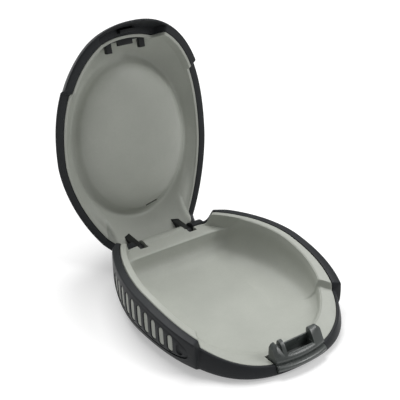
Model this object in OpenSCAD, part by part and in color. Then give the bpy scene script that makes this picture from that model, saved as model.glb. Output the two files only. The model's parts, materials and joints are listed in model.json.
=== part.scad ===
// Hearing aid case: an egg-shaped clamshell with a hinged lid and a push latch.
// Millimetres. X runs along the hinge, -Y points to the latch, Z is up.
// The base stands on z = 0 and the lid is drawn open, as the case is shown.

/* [Base] */
// Half width of the base's rim, where the grey tray meets the dark cover
rim_half_w = 31; // [29:0.5:34]
// Length of the rim in front of its widest line
rim_front = 41.6; // [40:0.2:46]
// Length of the egg curve behind the widest line, before the hinge cuts it
rim_rear = 46.9; // [44:0.1:52]
// Where the hinge cuts the tray's rear
rear_cut = 34.2; // [32:0.1:36]
// Height of the rim at the top of its arch
rim_peak = 17.4; // [16:0.2:22]
// Where along Y the rim's arch is highest
rim_peak_y = 13.6; // [8:0.2:18]
// Height of the arched rim at the front, before the front step
rim_front_h = 6.1; // [5.6:0.1:8]
// Depth of the step down to the front zone
front_step = 2.1; // [1.2:0.1:2.4]
// Height of the hinge ledge
ledge_h = 11.6; // [11:0.1:13]
// Width of the flat rim beside the tray's hollow
rail_w = 2.4; // [2:0.1:3.4]
// Front end of the tray's hollow
hollow_front = 34.5; // [32:0.1:36]
// Rear end of the tray's hollow, at the crest of the ledge
hollow_rear = 27.2; // [24:0.1:28]
// Height of the tray's floor
tray_floor = 3.4; // [3.2:0.1:5]
// Thickness of the cover's side walls
cover_wall = 2.8; // [2.4:0.1:3.6]
// Thickness of the cover's wall at the front edge
front_wall = 0.6; // [0.5:0.1:1.4]
// How far the cover's front swells below that edge
front_belly = 2.4; // [1.6:0.1:2.8]
// Thickness of the cover's bottom
cover_floor = 1.8; // [1.2:0.1:2]

/* [Grips] */
// Number of open slots in each grip
slot_count = 10; // [6:1:10]
// Number of closed slots at the grip's front end
blind_count = 2; // [1:1:2]
// Distance from slot to slot
slot_pitch = 3.9; // [3.4:0.1:3.9]
// Width of a slot
slot_w = 1.9; // [1.2:0.1:2.2]
// Height of a slot at the middle of the grip
slot_h = 8.2; // [5:0.1:8.4]
// Rear end of the grip
grip_rear = 20.5; // [18:0.5:22]
// Front end of the grip
grip_front = 25; // [25:0.1:26]
// How far the grip stands out of the cover
grip_proud = 0.35; // [0:0.05:0.8]

/* [Hinge] */
// Radius of the grey knuckle round the pin
barrel_r = 3.6; // [3.2:0.1:3.8]
// Half length of the middle knuckle
knuckle_half = 8.6; // [7:0.1:10]
// Thickness of a hinge arm
arm_t = 2.6; // [2:0.1:3.2]
// Radius of the arm's eye
eye_r = 2.7; // [2.2:0.1:2.9]
// Length of each end knuckle
bar_len = 4.9; // [3:0.1:5.2]
// Radius of the hinge pin
pin_r = 1; // [0.8:0.05:1.2]
// Opening angle of the lid
open_angle = 102.5; // [90:0.5:105]

/* [Lid] */
// How far the lid's edge stands back from the rim's line at the sides
lid_set = 0.2; // [0:0.1:0.8]
// How far the lid's front reaches past the rim's line
lid_overhang = 2.9; // [2.6:0.1:3.4]
// How far the lid's rear edge lies behind the tray's
lid_rear_reach = 6; // [5.8:0.1:6.6]
// Height of the closed case
case_h = 31.6; // [30:0.2:36]
// Width of the lid's dark edge
lid_edge = 2.8; // [2.2:0.1:3.2]
// Width of the grey line inside the dark edge
liner_edge = 1; // [0.8:0.1:1.4]
// Thickness of the lid's wall and roof behind its edge
lid_wall = 1.3; // [1.1:0.1:1.5]
// Space beside the button in the bay of the lid's front edge
bay_gap = 1; // [0.6:0.1:2]
// How far the lid's front edge is drawn back in the bay
bay_in = 2.2; // [2:0.1:2.8]
// Distance from the lid's side edge to the oval swell
swell_side = 8.8; // [8:0.1:12]
// Distance from the lid's front edge to the swell
swell_fore = 13.9; // [13:0.1:18]
// Distance from the lid's rear edge to the swell
swell_aft = 15.2; // [14:0.1:20]
// Height of the swell above the valley round it
swell_h = 6.2; // [4:0.1:7]

/* [Latch] */
// Half width of the latch button
button_half_w = 9.6; // [8.6:0.1:10.5]
// How far the button's finger lip reaches past the lid's front
lip_reach = 0.9; // [0.6:0.1:2]
// Height of the button's end blocks
button_h = 10.4; // [9.8:0.1:10.8]
// Length of the catch slot in the button
catch_slot_l = 9.2; // [8:0.1:11]
// Spare room in front of the hook in the slot of the pressed button
slot_slack = 0.3; // [0:0.1:0.6]
// Travel of the button
button_travel = 1.2; // [0.8:0.1:1.3]
// Thickness of the leaf spring
leaf_t = 0.25; // [0.2:0.05:0.3]

/* [Hidden] */

// Clearances between pieces of one body, between bodies, and round the pin
seat_gap = 0.1;
wall_gap = 0.2;
shell_gap = 0.15;
move_gap = 0.35;
pin_fit = 0.02;
run_fit = 0.05;

// Powers of the egg curve in front of and behind the widest line
front_power = 2.6;
rear_power = 1.685;
base_knee = 3.4;
lid_knee = 7;

// The front zone lies between these angles, and the step takes a few tenths of a degree
step_t = 57.3;
step_e = 0.9;
// The hinge axis lies behind the tray, under the ledge
hinge_y = rear_cut + pin_r + 2 * seat_gap;
hinge_z = ledge_h - barrel_r;
bar_r = barrel_r + 0.3;
arm_x = knuckle_half + 0.6 + arm_t / 2;
slit_in = knuckle_half + 0.25;
slit_out = arm_x + arm_t / 2 + move_gap;
bar_in = slit_out + 0.15;

// The lid follows the base's outline
lid_half_w = rim_half_w - lid_set;
lid_front = rim_front + lid_overhang;
lid_cut = rear_cut + lid_rear_reach;

// In the bay over the button the lid's front edge is drawn back and lies higher
bay_h = button_h + move_gap + seat_gap;
bay_edge = lid_front - bay_in;
bay_t = asin(pow((button_half_w + bay_gap) / lid_half_w, front_power / 2));
bay_ramp = 4.3;

// The catch's hook hangs from the bay's edge into the button's slot
hook_front = bay_edge - 0.7;
hook_rear = hook_front - 1.2;
slot_rear = hook_rear - move_gap;
slot_front = hook_front + button_travel + move_gap + slot_slack;

// A reach past the outside of the case, for cuts that run through a wall
beyond = 9;

dark = [0.16, 0.17, 0.17];
grey = [0.66, 0.68, 0.64];
steel = [0.75, 0.76, 0.78];

// Angles round the outline: the front's left side, the bay, the front's right side and the rest
side_segments = 7;
bay_segments = 8;
rest_segments = 54;
front_end = step_t - step_e;
bay_end = bay_t + bay_ramp;
angles = concat(
  [for (i = [0:side_segments]) -front_end + i * (front_end - bay_end) / side_segments],
  [for (i = [0:bay_segments]) -bay_t + 2 * i * bay_t / bay_segments],
  [for (i = [0:side_segments]) bay_end + i * (front_end - bay_end) / side_segments],
  [for (i = [0:rest_segments]) step_t + step_e + 2 * i * (180 - step_t - step_e) / rest_segments]);

function mix(a, b, u) = a + (b - a) * u;
function smooth(u) = u <= 0 ? 0 : u >= 1 ? 1 : u * u * (3 - 2 * u);
function signed_pow(v, e) = sign(v) * pow(abs(v), e);
function in_front(t) = t < step_t;

// Distances along Y are eased towards the cut over the length of the knee
function soft_cut(y, cut, knee) =
  y < cut - knee ? y : cut - knee + knee * (1 - exp(-(y - cut + knee) / knee));

// A point of an egg curve: half width a, front length f, rear length r, cut flat at the rear
function egg(t, a, f, r, cut, knee) =
  let (s = sin(t), c = cos(t), e = 2 / (c >= 0 ? front_power : rear_power))
  [a * signed_pow(s, e), soft_cut(-(c >= 0 ? f : r) * signed_pow(c, e), cut, knee)];

function base_pt(t, d) =
  egg(t, rim_half_w + d, rim_front + d, rim_rear + d, rear_cut + d, base_knee);
function hollow_pt(t, d) =
  egg(t, rim_half_w - rail_w - 0.4 + d, hollow_front + d, rim_rear - rail_w + d, hollow_rear + d, base_knee);
function bay_share(t) = smooth((bay_end - abs(t)) / bay_ramp);
function lid_pt(t, d) =
  egg(t, lid_half_w + d, lid_front + d - bay_in * bay_share(t), rim_rear + d, lid_cut + d, lid_knee);

// The rim is an arch along Y, lower in the front zone and at the hinge, where each rail ends in a nose
nose_back = 2.4;
nose_run = 1.7;
arch = (rim_peak - rim_front_h) / pow(rim_front + rim_peak_y, 2);
function arch_z(y) = rim_peak - arch * pow(y - rim_peak_y, 2);
function hinge_share(y) = smooth((y - rear_cut + nose_back) / nose_run);
function plain_rim_z(t) =
  let (y = base_pt(t, 0).y)
  mix(arch_z(y), ledge_h, hinge_share(y));
function rim_z(t) = plain_rim_z(t) - (in_front(t) ? front_step : 0);

// A ring of points, one per angle, from a place function's result and a height
function ring(places, heights) =
  [for (i = [0:len(angles) - 1]) [places[i].x, places[i].y, heights[i]]];
function level(z) = [for (t = angles) z];

// A closed loft through rings: the first ring's cap faces down and the last one's faces up
module loft(rings) {
  n = len(angles);
  last = len(rings) - 1;
  sides = [for (k = [0:last - 1], i = [0:n - 1])
    let (j = (i + 1) % n, a = k * n + i, b = k * n + j, c = a + n, d = b + n)
    each [[a, c, d], [a, d, b]]];
  caps = [[for (i = [0:n - 1]) i], [for (i = [n - 1:-1:0]) last * n + i]];
  polyhedron(points = [for (r = rings) each r], faces = concat(sides, caps), convexity = 6);
}

// Heights at a share of the wall between a floor and the rim
function wall_z(floor_z, f) = [for (t = angles) floor_z + f * (rim_z(t) - floor_z)];

// The tray: outside from its bottom to the rim, then the rail, the ledge and the hollow
tray_bottom = cover_floor + 0.2;
// Where the rail's inner wall comes down to the ledge, towards the rear
function ledge_share(t) = smooth((base_pt(t, 0).y - hollow_rear + 6.8) / 7);
function rail_foot_z(drop) =
  [for (t = angles) mix(rim_z(t) - drop, ledge_h - drop / 2, ledge_share(t))];
function hollow_edge_z(t) = mix(rim_z(t) - (in_front(t) ? 0.3 : 0.6), ledge_h - 0.35, ledge_share(t));
function hollow_z(f) = [for (t = angles) tray_floor + f * (hollow_edge_z(t) - tray_floor)];
function tray_side(d) = [for (t = angles) base_pt(t, d)];
function tray_hollow(d) = [for (t = angles) hollow_pt(t, d)];
function rail_edge(in) =
  [for (t = angles) egg(t, rim_half_w - rail_w - in, hollow_front + 0.4 - in, rim_rear - rail_w - in,
                        rear_cut - 1 - in, base_knee)];

module tray_shell() {
  loft([
    ring(tray_side(-8.9 - wall_gap), level(tray_bottom)),
    ring(tray_side(-3.5 - wall_gap), wall_z(tray_bottom, 0.1)),
    ring(tray_side(-1.1 - wall_gap), wall_z(tray_bottom, 0.36)),
    ring(tray_side(-wall_gap), wall_z(tray_bottom, 0.96)),
    ring(tray_side(-wall_gap - 0.3), wall_z(tray_bottom, 1)),
    ring(rail_edge(0), wall_z(tray_bottom, 1)),
    ring(rail_edge(0.2), rail_foot_z(0.2)),
    ring(tray_hollow(0), hollow_z(1)),
    ring(tray_hollow(-0.4), hollow_z(0.86)),
    ring(tray_hollow(-1), hollow_z(0.5)),
    ring(tray_hollow(-3.2), hollow_z(0.14)),
    ring(tray_hollow(-8), hollow_z(0)),
    ring(tray_hollow(-18), level(tray_floor - 0.15))]);
}

// A cylinder along X through the hinge axis
module along_hinge(r, x0, x1) {
  translate([x0, hinge_y, hinge_z])
    rotate([0, 90, 0])
      cylinder(r = r, h = x1 - x0, $fn = 64);
}

// A box given by its lowest and highest corners
module block(low, high) {
  translate(low)
    cube(high - low);
}

slit_front = hinge_y - 4.2;
slit_low = hinge_z - eye_r - 0.5;

// The button stands in a recess of the base's front, between two posts
lip_front = lid_front + lip_reach;
block_rear = slot_rear - 0.9;
recess_half = button_half_w + 0.3;
recess_rear = block_rear - button_travel - 0.4;
post_w = 1.2;
post_h = 5.6;
post_front = lid_front - lid_edge - liner_edge - shell_gap - move_gap - 1.8;
post_rear = recess_rear - 0.6;

module base_tray() {
  color(grey)
    difference() {
      union() {
        tray_shell();
        along_hinge(barrel_r, -knuckle_half, knuckle_half);
      }
      along_hinge(pin_r + pin_fit, -knuckle_half - 1, knuckle_half + 1);
      for (s = [-1, 1])
        block([s > 0 ? slit_in : -slit_out, slit_front, slit_low],
              [s > 0 ? slit_out : -slit_in, hinge_y + beyond, rim_peak]);
      block([-recess_half, -rim_front - beyond, 0], [recess_half, -recess_rear, rim_peak]);
      for (s = [-1, 1])
        guide_post(s, seat_gap);
    }
}

// The cover's wall is thick at the sides and thin at the hinge, and in the front zone it swells
// from a thin edge (edge = 1) to a full belly (edge = 0)
function cover_d(t, edge) =
  let (y = base_pt(t, 0).y)
  in_front(t) ? mix(front_belly, front_wall, edge) : mix(cover_wall, 1.6, smooth((y - 27) / 6));
// The bottom's rounding is large at the sides and smaller at the front and the rear
function rounding(y) = 1 - 0.6 * smooth((y - 18) / 14) - 0.5 * smooth((-y - 24) / 14);
function cover_ring(inset, edge, f) = ring(
  [for (t = angles) base_pt(t, cover_d(t, edge) - inset * rounding(base_pt(t, 0).y))],
  [for (t = angles) f * rim_z(t)]);

module cover_shell() {
  loft([
    cover_ring(8, 0, 0),
    cover_ring(3.9, 0, 0.05),
    cover_ring(1.1, 0, 0.18),
    cover_ring(0.1, 0, 0.37),
    cover_ring(-0.15, 0.35, 0.66),
    cover_ring(0, 0.85, 0.95),
    cover_ring(0.4, 1, 1),
    ring(tray_side(0), wall_z(0, 1)),
    ring(tray_side(0), wall_z(cover_floor, 0.96)),
    ring(tray_side(-1.1), wall_z(cover_floor, 0.36)),
    ring(tray_side(-3.5), wall_z(cover_floor, 0.1)),
    ring(tray_side(-8.9), level(cover_floor))]);
}

// The grip's outline on the side wall: between two heights that follow the rim's arch
grip_steps = 28;
grip_mid = (grip_rear - grip_front) / 2;
grip_half = (grip_rear + grip_front) / 2;
function grip_y(i, grow) = grip_mid + (grip_half + grow) * cos(180 * i / grip_steps);
function grip_end(i) = pow(max(0, 1 - pow(abs(cos(180 * i / grip_steps)), 5)), 0.4);
function grip_top(y) = arch_z(y) - 1.1;
function grip_low(y) = 0.3 * arch_z(y) + 0.4;
function grip_centre(y) = (grip_top(y) + grip_low(y)) / 2;
function grip_span(y) = (grip_top(y) - grip_low(y)) / 2;
function grip_outline(grow) = concat(
  [for (i = [0:grip_steps]) let (y = grip_y(i, grow))
    [y, grip_centre(y) + (grip_span(y) + grow) * grip_end(i)]],
  [for (i = [grip_steps - 1:-1:1]) let (y = grip_y(i, grow))
    [y, grip_centre(y) - (grip_span(y) + grow) * grip_end(i)]]);

// A post beside the button, standing on the cover's floor, on side s
module guide_post(s, grow) {
  inner = recess_half - grow;
  outer = recess_half + post_w + grow;
  block([s > 0 ? inner : -outer, -post_front - grow, cover_floor - 0.5],
        [s > 0 ? outer : -inner, -post_rear + grow, grow > 0 ? rim_peak : post_h]);
}

// The side walls lie between these distances from the middle
side_in = rim_half_w / 2;
side_out = rim_half_w + beyond;

// A profile drawn in Y and Z, extruded along X
module across(x0, x1) {
  translate([x0, 0, 0])
    rotate([90, 0, 90])
      linear_extrude(height = x1 - x0)
        children();
}

module end_knuckles() {
  difference() {
    for (s = [-1, 1])
      along_hinge(bar_r, s > 0 ? bar_in : -bar_in - bar_len, s > 0 ? bar_in + bar_len : -bar_in);
    block([-rim_half_w, hinge_y - beyond, 0], [rim_half_w, rear_cut + seat_gap, rim_peak]);
  }
}

module base_cover() {
  color(dark)
    difference() {
      union() {
        difference() {
          cover_shell();
          for (s = [-1, 1])
            across(s > 0 ? side_in : -side_out, s > 0 ? side_out : -side_in)
              polygon(grip_outline(seat_gap));
          block([-slit_out - 0.1, hinge_y - 3, hinge_z - barrel_r - 0.3],
                [slit_out + 0.1, hinge_y + beyond, rim_peak]);
          block([-recess_half, -rim_front - beyond, cover_floor], [recess_half, 1 - recess_rear, rim_peak]);
        }
        end_knuckles();
        for (s = [-1, 1])
          guide_post(s, 0);
      }
      along_hinge(pin_r + pin_fit, -bar_in - bar_len - 1, bar_in + bar_len + 1);
    }
}

// A band that fills the cover's opening: its faces lie at two distances from the rim's line
grip_lean = 0.36;
grip_back = 0.5;
function grip_x(y, d) =
  let (b = y < 0 ? rim_front + d : rim_rear + d, p = y < 0 ? front_power : rear_power)
  (rim_half_w + d) * pow(1 - pow(abs(y) / b, p), 1 / p);
grip_rows = 5;
module grip_band(inner, outer, crown) {
  n = grip_steps + 1;
  rows = grip_rows + 1;
  function skin_points(d, crown) = [for (i = [0:grip_steps], k = [0:grip_rows])
    let (y = grip_y(i, -seat_gap), v = 2 * k / grip_rows - 1,
         e = max(grip_end(i), 0.08))
    [grip_x(y, d + crown * (1 - pow(abs(v), 4)) * e) - (1 - v) * grip_lean,
     y, grip_centre(y) + v * (grip_span(y) - seat_gap) * e]];
  outside = skin_points(outer, crown);
  inside = skin_points(inner, 0);
  m = n * rows;
  skins = [for (i = [0:n - 2], k = [0:rows - 2])
    let (a = i * rows + k, b = a + rows)
    each [[a, b + 1, a + 1], [a, b, b + 1], [m + a, m + a + 1, m + b + 1], [m + a, m + b + 1, m + b]]];
  low = [for (i = [0:n - 2]) let (a = i * rows, b = a + rows) each [[a, m + b, b], [a, m + a, m + b]]];
  top = [for (i = [0:n - 2]) let (a = i * rows + rows - 1, b = a + rows)
    each [[a, b, m + b], [a, m + b, m + a]]];
  first = [for (k = [0:rows - 2]) each [[k, m + k + 1, m + k], [k, k + 1, m + k + 1]]];
  base = (n - 1) * rows;
  final = [for (k = [0:rows - 2]) let (a = base + k) each [[a, m + a, m + a + 1], [a, m + a + 1, a + 1]]];
  polyhedron(points = concat(outside, inside), faces = concat(skins, low, top, first, final), convexity = 6);
}

module round_slot(y, h, w) {
  translate([y, grip_centre(y)]) {
    square([w, h - w], center = true);
    for (s = [-1, 1])
      translate([0, s * (h - w) / 2])
        circle(d = w, $fn = 16);
  }
}

// Slots run forward from the grip's rear, as many open ones as leave a bridge in front of the last;
// the first is shorter and so are the closed ones
short = 1.6;
slot_lead = 3.4;
slot_bridge = 2;
slot_run = grip_rear + grip_front - slot_lead - slot_bridge - slot_w / 2;
open_count = min(slot_count, 1 + floor(slot_run / slot_pitch));
function slot_y(i) = grip_rear - slot_lead - i * slot_pitch;
function slot_len(i) =
  min(slot_h, 2 * grip_span(slot_y(i)) - 2)
  - short * (i == 0 ? 1 : max(0, i - open_count + 1));

// The open slots' outlines, less a gap all round, as prisms through the side wall
module open_slots(gap) {
  for (i = [0:open_count - 1])
    across(side_in, side_out)
      round_slot(slot_y(i), slot_len(i) - 2 * gap, slot_w - 2 * gap);
}

module grip() {
  color(dark)
    difference() {
      grip_band(grip_back, cover_wall - 0.1, grip_proud + 0.1);
      open_slots(0);
      for (i = [open_count:open_count + blind_count - 1])
        across(grip_x(slot_y(i), cover_wall) - 0.7, side_out)
          round_slot(slot_y(i), slot_len(i), slot_w);
    }
}

// The comb behind a grip: a thin plate with a rib for each open slot
comb_plate = 0.35;
rib_set = 0.35;
module comb() {
  color(grey) {
    grip_band(grip_back - seat_gap - comb_plate, grip_back - seat_gap, 0);
    intersection() {
      grip_band(grip_back - seat_gap - comb_plate / 2, cover_wall - 0.1 - rib_set, grip_proud + 0.1);
      open_slots(seat_gap);
    }
  }
}

module grip_comb_right() {
  comb();
}

module grip_comb_left() {
  mirror([1, 0, 0])
    comb();
}

module grip_right() {
  grip();
}

module grip_left() {
  mirror([1, 0, 0])
    grip();
}

// The latch button: a low wall behind the catch slot, a higher end block on each side, and a front
// that sweeps down over an undercut to the finger lip
block_front = lip_front - 0.3;
button_low = cover_floor + 0.3;
bridge_h = button_h - 2;
sweep_h = button_h - 2.4;
undercut_h = 5.4;
lip_top = 4.7;
button_bow = 46;

function front_profile() = [
  [-block_front + 0.15, sweep_h],
  [-block_front, sweep_h - 0.6],
  [-block_front + 0.1, undercut_h + 0.3],
  [-block_front + 0.8, undercut_h],
  [-block_front + 0.8, lip_top],
  [-lip_front + 0.3, lip_top - 0.1],
  [-lip_front, lip_top - 0.5],
  [-lip_front + 0.1, button_low + 0.5],
  [-lip_front + 0.6, button_low]];

// The low middle and the end blocks each have a side profile; they share the front
function middle_profile() = concat([
  [-block_rear, button_low],
  [-block_rear, bridge_h - 0.4],
  [-block_rear - 0.4, bridge_h],
  [-slot_front + 0.3, bridge_h],
  [-slot_front + 0.3, button_h - 0.5],
  [-slot_front - 0.7, button_h - 0.8]], front_profile());
function end_profile() = concat([
  [-block_rear, button_low],
  [-block_rear, button_h - 0.6],
  [-block_rear - 0.6, button_h],
  [-slot_front + 0.1, button_h],
  [-slot_front - 0.8, button_h - 0.6]], front_profile());

// The end blocks fall off towards the sides
module button_section() {
  polygon([
    [-button_half_w, 0],
    [-button_half_w, button_h - 1.7],
    [-button_half_w + 0.5, button_h - 0.8],
    [-button_half_w + 1.6, button_h],
    [button_half_w - 1.6, button_h],
    [button_half_w - 0.5, button_h - 0.8],
    [button_half_w, button_h - 1.7],
    [button_half_w, 0]]);
}

module latch_button() {
  inner = catch_slot_l / 2 + 0.5;
  pocket = [-button_half_w + 1.1, -button_half_w + 3.2];
  color(dark)
    difference() {
      intersection() {
        union() {
          across(-button_half_w, button_half_w)
            polygon(middle_profile());
          for (s = [-1, 1])
            across(s > 0 ? inner : -button_half_w, s > 0 ? button_half_w : -inner)
              polygon(end_profile());
        }
        rotate([90, 0, 0])
          linear_extrude(height = lip_front + beyond)
            button_section();
        translate([0, button_bow - lip_front, 0])
          cylinder(r = button_bow, h = button_h + 1, $fn = 128);
      }
      block([-catch_slot_l / 2, -slot_front, button_low + 1.4], [catch_slot_l / 2, -slot_rear, button_h + 1]);
      block([pocket[0], -slot_front + 0.4, button_h - 1], [pocket[1], 1 - block_rear, button_h + 1]);
    }
}

// A bowed leaf in the gap behind the button, standing on the cover's floor
leaf_low = cover_floor + 0.1;
leaf_high = tray_floor - 0.1;
leaf_half = 7;
leaf_bow = block_rear - recess_rear - leaf_t - 0.3;
leaf_r = (leaf_half * leaf_half + leaf_bow * leaf_bow) / (2 * leaf_bow);

module latch_spring() {
  color(steel)
    translate([0, -recess_rear - 0.15 - leaf_bow, leaf_low])
      linear_extrude(height = leaf_high - leaf_low)
        intersection() {
          difference() {
            translate([0, leaf_bow - leaf_r])
              circle(r = leaf_r, $fn = 96);
            translate([0, leaf_bow - leaf_r])
              circle(r = leaf_r - leaf_t, $fn = 96);
          }
          translate([-leaf_half, 0])
            square([2 * leaf_half, 2 * leaf_bow]);
        }
}

module hinge_pin() {
  color(steel)
    along_hinge(pin_r, -bar_in - bar_len + 0.2, bar_in + bar_len - 0.2);
}

// The lid is modelled closed and turned back about the hinge axis
module opened() {
  translate([0, hinge_y, hinge_z])
    rotate([-open_angle, 0, 0])
      translate([0, -hinge_y, -hinge_z])
        children();
}

lid_gap = 0.35;
hinge_gap = 0.6;
function lid_gap_at(t) = mix(lid_gap, hinge_gap, hinge_share(base_pt(t, 0).y));
function lid_rim_z(t) = mix(rim_z(t) + lid_gap_at(t), bay_h, bay_share(t));
function lid_plain_z(t) = mix(plain_rim_z(t) + lid_gap_at(t), bay_h, bay_share(t));

// Dome sections run from the lid's edge (turn 0) to the roof (turn 90), drawn in by a share of its size.
// The front's lower edge fades out up the dome
dome_power = 1.55;
roof_share = 0.844;
function dome_in(turn) = 1 - pow(cos(turn), 2 / dome_power);
function dome_up(turn) = pow(sin(turn), 2 / dome_power);
function dome_pt(t, edge, turn) =
  let (s = 1 - roof_share * dome_in(turn))
  egg(t, (lid_half_w - edge) * s, (lid_front - edge - bay_in * bay_share(t)) * s, (rim_rear - edge) * s,
      (lid_cut - edge) * s, lid_knee * s);
function dome_foot_z(t, turn) =
  mix(lid_rim_z(t), lid_plain_z(t), smooth(dome_up(turn) / 0.35));
function dome_ring(turn, edge, roof_z) = ring(
  [for (t = angles) dome_pt(t, edge, turn)],
  [for (t = angles) mix(dome_foot_z(t, turn), roof_z, dome_up(turn))]);
function lid_edge_ring(inset, up) =
  ring([for (t = angles) lid_pt(t, -inset)], [for (t = angles) lid_rim_z(t) + up]);

flange_t = 1;
module lid_cover() {
  color(dark)
    opened()
      difference() {
        loft(concat(
          [for (turn = [90, 66, 44, 28, 14]) dome_ring(turn, lid_wall, case_h - lid_wall)],
          [lid_edge_ring(lid_edge, flange_t), lid_edge_ring(lid_edge, 0)],
          [lid_edge_ring(0.5, 0), lid_edge_ring(0, 0.5)],
          [for (turn = [7, 16, 28, 41, 55, 71, 90]) dome_ring(turn, 0, case_h)]));
        catch_seat(seat_gap);
      }
}

// The liner: from the lid's edge up a sloping wall to a valley, then down over the oval swell.
// The swell leans with the lid's rising rear
valley_z = case_h - lid_wall - 10.3;
swell_lean = 0.06;
swell_half_w = lid_half_w - swell_side;
swell_half_l = (lid_front - swell_fore + lid_cut - swell_aft) / 2;
swell_y = (lid_cut - swell_aft - lid_front + swell_fore) / 2;
valley_u = 1.06;
function swell_pt(t, u) = [swell_half_w * u * sin(t), swell_y - swell_half_l * u * cos(t)];
function lean(p) = swell_lean * (p.y - swell_y);
function swell_ring(u, down) = ring(
  [for (t = angles) swell_pt(t, u)],
  [for (t = angles) valley_z - down + lean(swell_pt(t, u))]);
// The wall is steep at the front and slopes at the rear: its share of the way in is set for both
function liner_wall(front_u, rear_u, v, back) = ring(
  [for (t = angles) mix(lid_pt(t, back - lid_edge - liner_edge - shell_gap),
                        swell_pt(t, valley_u + 0.02 * back),
                        mix(front_u, rear_u, (1 - cos(t)) / 2))],
  [for (t = angles) mix(lid_plain_z(t), valley_z + lean(swell_pt(t, valley_u)) + 1.1 * back, v)]);

module liner_shell() {
  loft(concat(
    [swell_ring(0.2, swell_h), swell_ring(0.6, swell_h * 0.95), swell_ring(0.84, swell_h * 0.77),
     swell_ring(0.95, swell_h * 0.5), swell_ring(1, swell_h * 0.16)],
    [liner_wall(1, 1, 1, 0), liner_wall(0.6, 0.75, 0.78, 0)],
    [liner_wall(0.25, 0.45, 0.46, 0), liner_wall(0.03, 0.2, 0.2, 0)],
    [lid_edge_ring(lid_edge + liner_edge + shell_gap, 0), lid_edge_ring(lid_edge + shell_gap, 0)],
    [liner_wall(0.03, 0.2, 0.2, liner_edge), liner_wall(0.25, 0.45, 0.46, liner_edge)],
    [liner_wall(0.6, 0.75, 0.78, liner_edge), liner_wall(1, 1, 1, liner_edge)],
    [swell_ring(0.97, swell_h * 0.16 - 1), swell_ring(0.92, swell_h * 0.5 - 1.2),
     swell_ring(0.81, swell_h * 0.77 - 1.3), swell_ring(0.2, swell_h - 1.4)]));
}

// A hinge arm is a plate from the pin's eye to a long foot in the lid's sloping rear wall.
// Its outline is measured from the pin with the lid closed
arm_tip = [-5.6, 11];
arm_heel = [-0.8, 4.7];
module arm_plate(grow) {
  translate([0, hinge_y, hinge_z])
    across(arm_x - arm_t / 2 - grow, arm_x + arm_t / 2 + grow)
      polygon([
        [-eye_r + 0.1 - grow, 0],
        arm_tip + [-grow, grow],
        arm_tip + [0.6 + grow, 0.2 + grow],
        [-2.5 + grow, 7.6 + grow],
        arm_heel + [grow, grow],
        [-0.5 + grow, 3.8],
        [eye_r * 0.9, 1.2]]);
}

module hinge_arm() {
  color(dark)
    opened()
      difference() {
        union() {
          along_hinge(eye_r, arm_x - arm_t / 2, arm_x + arm_t / 2);
          arm_plate(0);
        }
        along_hinge(pin_r + run_fit, 0, 2 * arm_x);
      }
}

module hinge_arm_right() {
  hinge_arm();
}

module hinge_arm_left() {
  mirror([1, 0, 0])
    hinge_arm();
}

// The catch: a bar behind the bay's edge, two legs, a short tongue, and a hook through the edge that
// hangs into the button's slot
catch_low = bay_h + flange_t + 0.15;
catch_high = catch_low + 1.8;
catch_half = 7.6;
catch_leg = 2.2;
catch_front = bay_edge - 2.7;
catch_bar_rear = catch_front - 2.1;
catch_leg_end = catch_front - 5.4;
hook_half = 3;
hook_low = 7.4;
hook_arm = 0.9;

module catch_seat(grow) {
  block([-catch_half - grow, -catch_front - grow, catch_low - grow],
        [catch_half + grow, -catch_bar_rear + grow, catch_high + grow]);
  for (s = [-1, 1])
    block([(s > 0 ? catch_half - catch_leg : -catch_half) - grow, -catch_bar_rear - 0.5, catch_low - grow],
          [(s > 0 ? catch_half : catch_leg - catch_half) + grow, -catch_leg_end + grow, catch_high + grow]);
  block([-hook_half - grow, -hook_front - grow, catch_low - grow],
        [hook_half + grow, 1.4 - catch_bar_rear + grow, catch_low + hook_arm + grow]);
  block([-hook_half - grow, -hook_front - grow, hook_low - grow],
        [hook_half + grow, -hook_rear + grow, catch_low + hook_arm + grow]);
}

module lid_catch() {
  color(dark)
    opened()
      catch_seat(0);
}

// A short slit in the rear flank of the swell, beside its middle
nick_x = 5;
nick_l = 5.2;
nick_in = 3;
nick_h = 0.8;

module swell_slit() {
  translate([nick_x, swell_y + swell_half_l - 0.6, valley_z - swell_h * 0.5 + swell_lean * swell_half_l])
    rotate([0, 4, 0])
      cube([nick_l, nick_in, nick_h], center = true);
}

module lid_liner() {
  color(grey)
    opened()
      difference() {
        liner_shell();
        for (s = [0, 1])
          mirror([s, 0, 0])
            arm_plate(seat_gap);
        catch_seat(seat_gap);
        swell_slit();
      }
}

base_tray();
base_cover();
grip_left();
grip_right();
grip_comb_left();
grip_comb_right();
latch_button();
latch_spring();
hinge_pin();
hinge_arm_left();
hinge_arm_right();
lid_liner();
lid_cover();
lid_catch();
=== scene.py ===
"""Hearing aid case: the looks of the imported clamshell, built in metres in the frame of the solids."""
import json
import math

import bmesh
import bpy
import numpy as np
from mathutils import Matrix, Vector


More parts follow.
